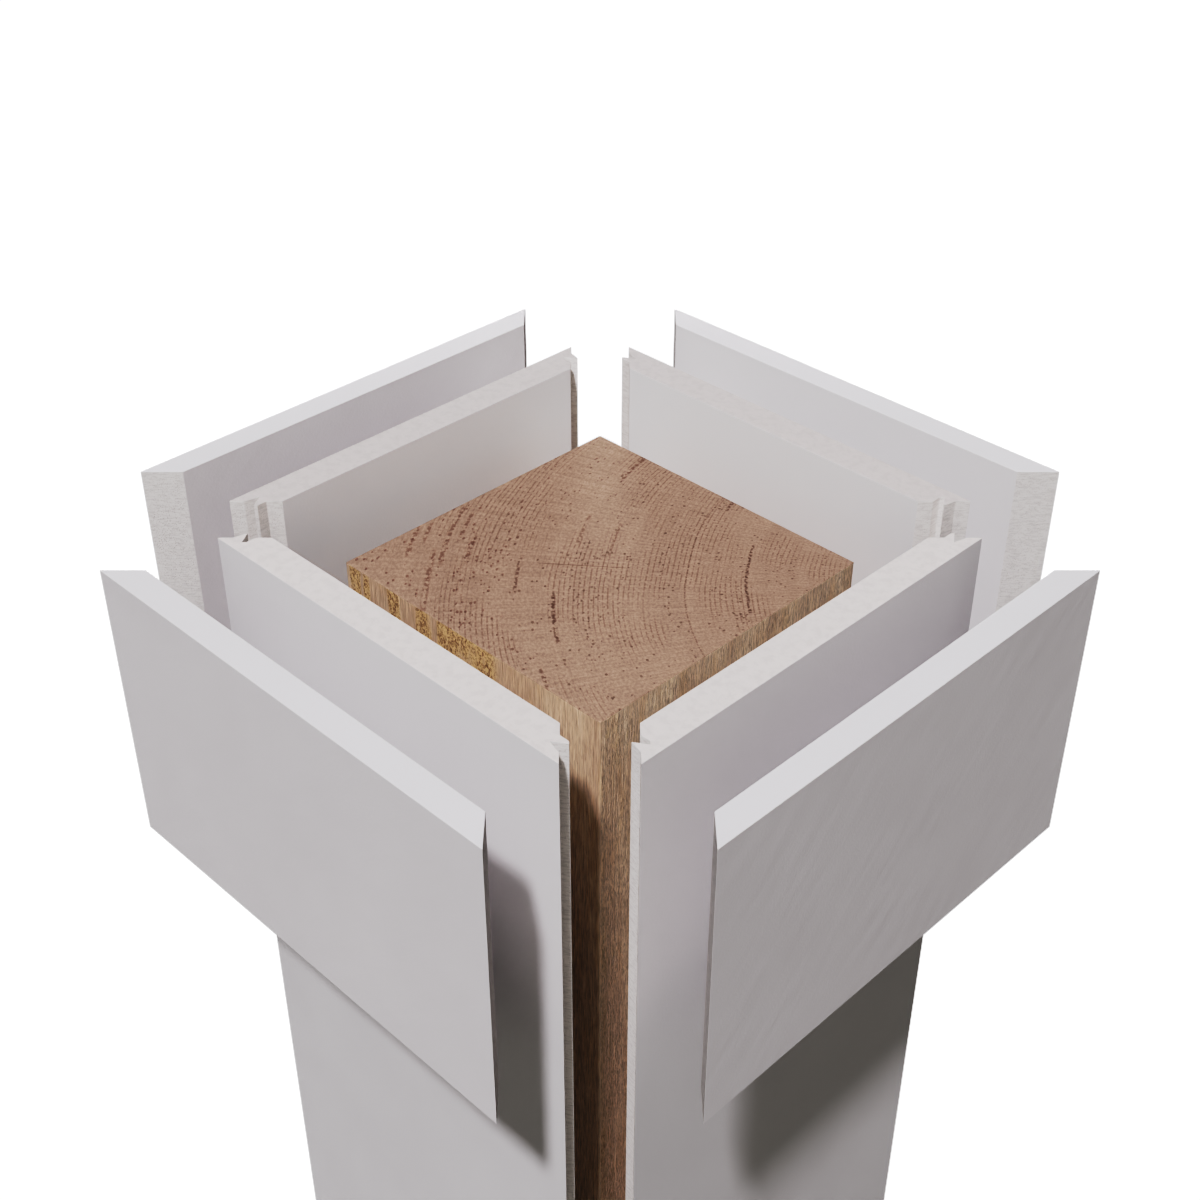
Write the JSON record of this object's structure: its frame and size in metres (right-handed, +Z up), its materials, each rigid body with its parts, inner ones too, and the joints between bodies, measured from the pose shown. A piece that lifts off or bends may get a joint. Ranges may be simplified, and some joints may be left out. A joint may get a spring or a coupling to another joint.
{
  "type": "porch column wrap",
  "caption": "Square porch column wrap shown apart: lock-mitred panels stand clear of a timber post, with short mitred trim boards round the top.",
  "frame": {"origin": "centre of the underside, on the column's axis at the level it stands on", "axes": "+Z up along the column's axis, -Y out of the front panel, +X out of the right panel"},
  "size_m": [0.3376, 0.3376, 1],
  "materials": {
    "rough_timber": "rough-sawn, unfinished",
    "panel_pvc": "smooth white cellular PVC, satin",
    "trim_pvc": "smooth white cellular PVC, satin"
  },
  "bodies": {
    "root": {"wood_post": "rough_timber", "front_panel": "panel_pvc", "right_panel": "panel_pvc", "back_panel": "panel_pvc", "left_panel": "panel_pvc", "front_trim_board": "trim_pvc", "right_trim_board": "trim_pvc", "back_trim_board": "trim_pvc", "left_trim_board": "trim_pvc"}
  },
  "joints": []
}
